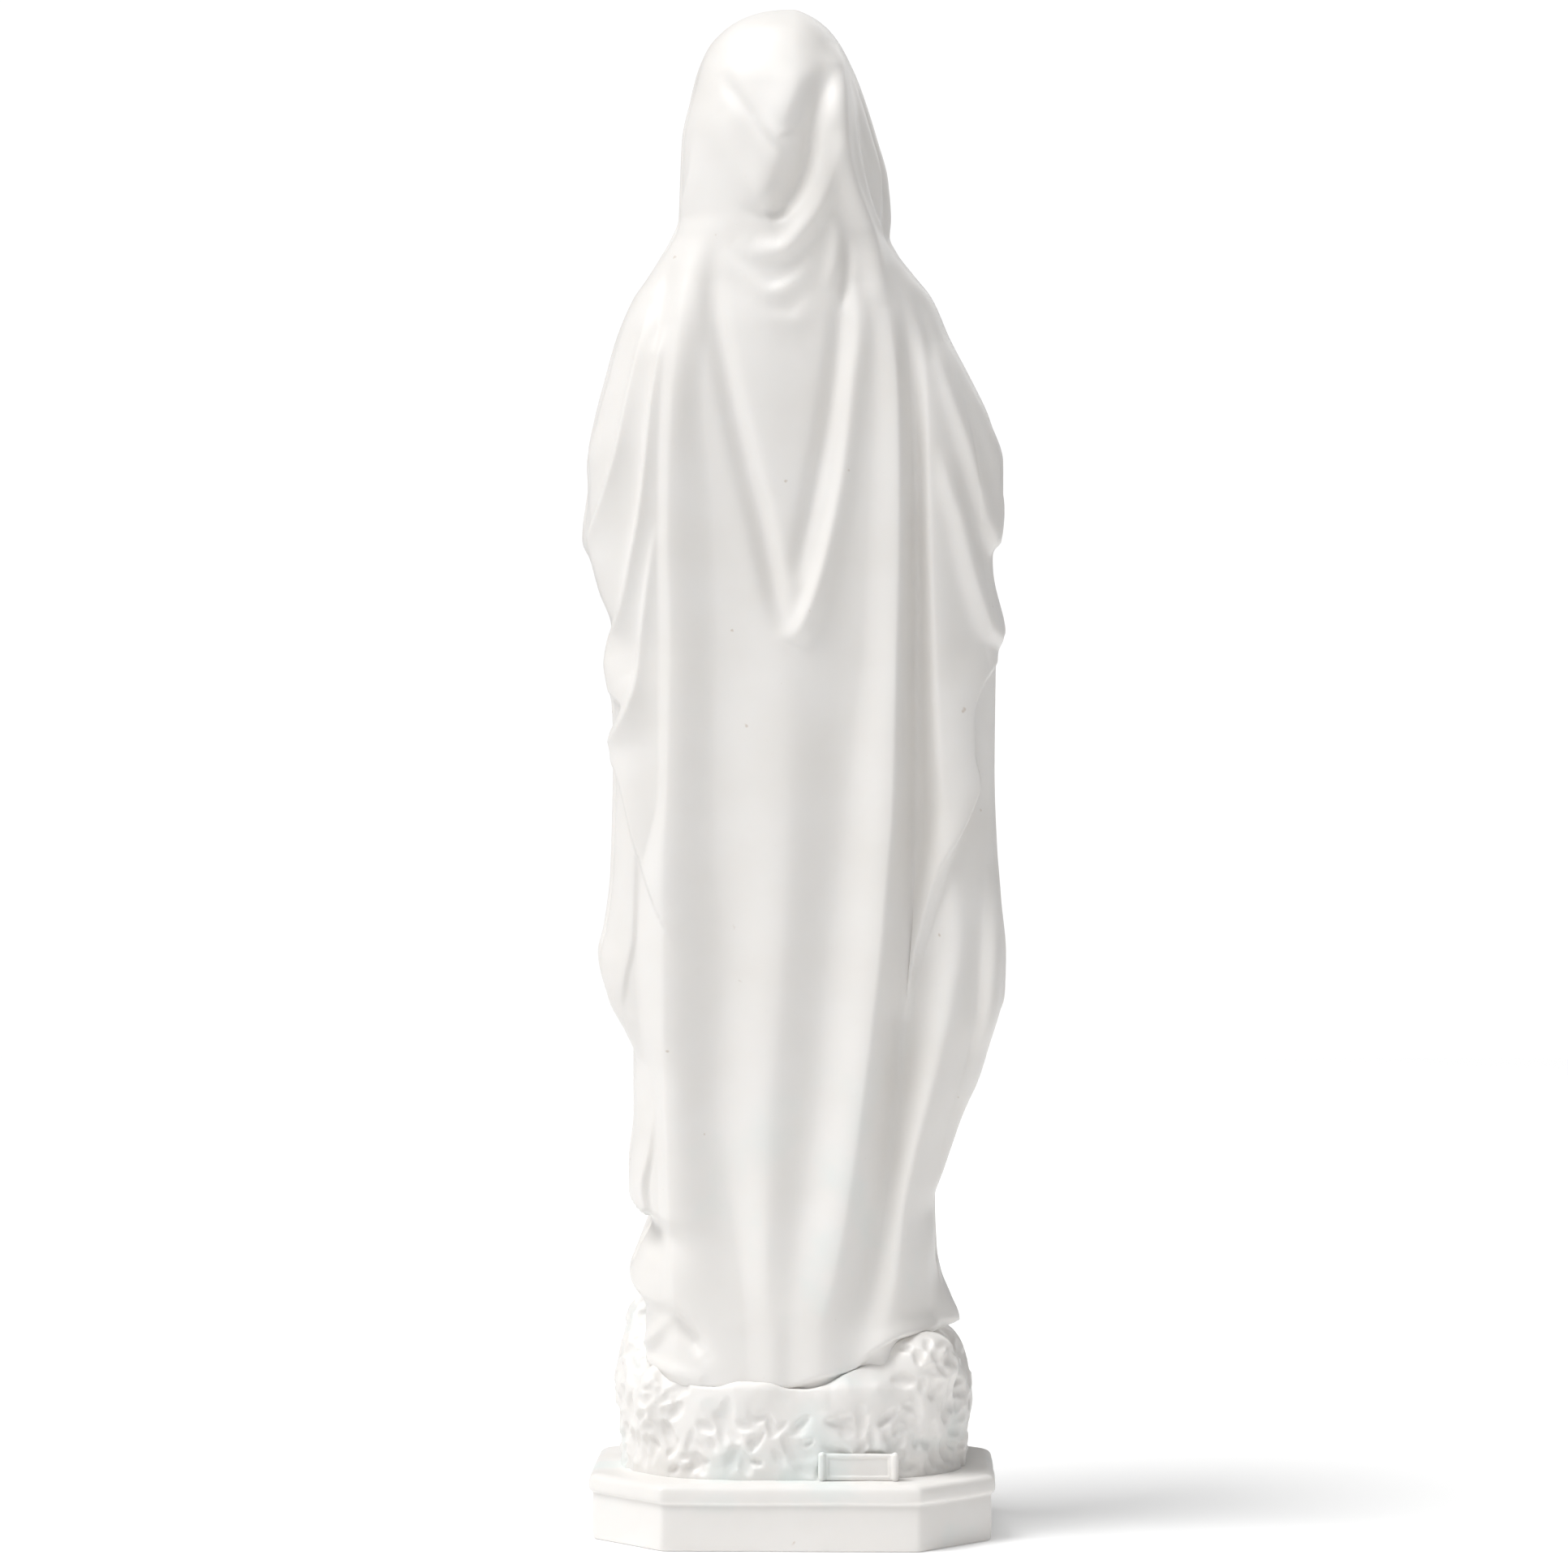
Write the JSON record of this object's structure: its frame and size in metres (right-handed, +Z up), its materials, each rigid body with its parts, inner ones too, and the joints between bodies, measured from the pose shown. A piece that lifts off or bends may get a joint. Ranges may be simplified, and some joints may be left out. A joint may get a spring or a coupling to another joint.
{
  "type": "madonna statue",
  "caption": "Standing praying madonna in cast marble resin: hooded mantle, gown, joined hands, on a rock mound and an octagonal plinth.",
  "frame": {"origin": "centre of the plinth's footprint, on the surface that the statue stands on", "axes": "+Z up, the figure faces -Y, its own right-hand side is at -X"},
  "size_m": [0.1691, 0.126, 0.6],
  "materials": {
    "marble_resin": "matte",
    "steel": "zinc plated",
    "foam": "cut foam",
    "board": "matte"
  },
  "bodies": {
    "root": {"plinth": "marble_resin", "rock_mound": "marble_resin", "maker_tablet": "marble_resin", "gown": "marble_resin", "mantle": "marble_resin", "head": "marble_resin", "right_sleeve": "marble_resin", "left_sleeve": "marble_resin", "right_hand": "marble_resin", "left_hand": "marble_resin", "sash_belt": "marble_resin", "sash_tails": "marble_resin", "right_foot": "marble_resin", "left_foot": "marble_resin", "roses": "marble_resin", "board_screws": "steel", "rod_washer": "steel", "rod_nut": "steel", "armature_rod": "steel", "neck_pin": "steel", "wrist_pins": "steel", "foam_core": "foam", "closing_board": "board"}
  },
  "joints": []
}
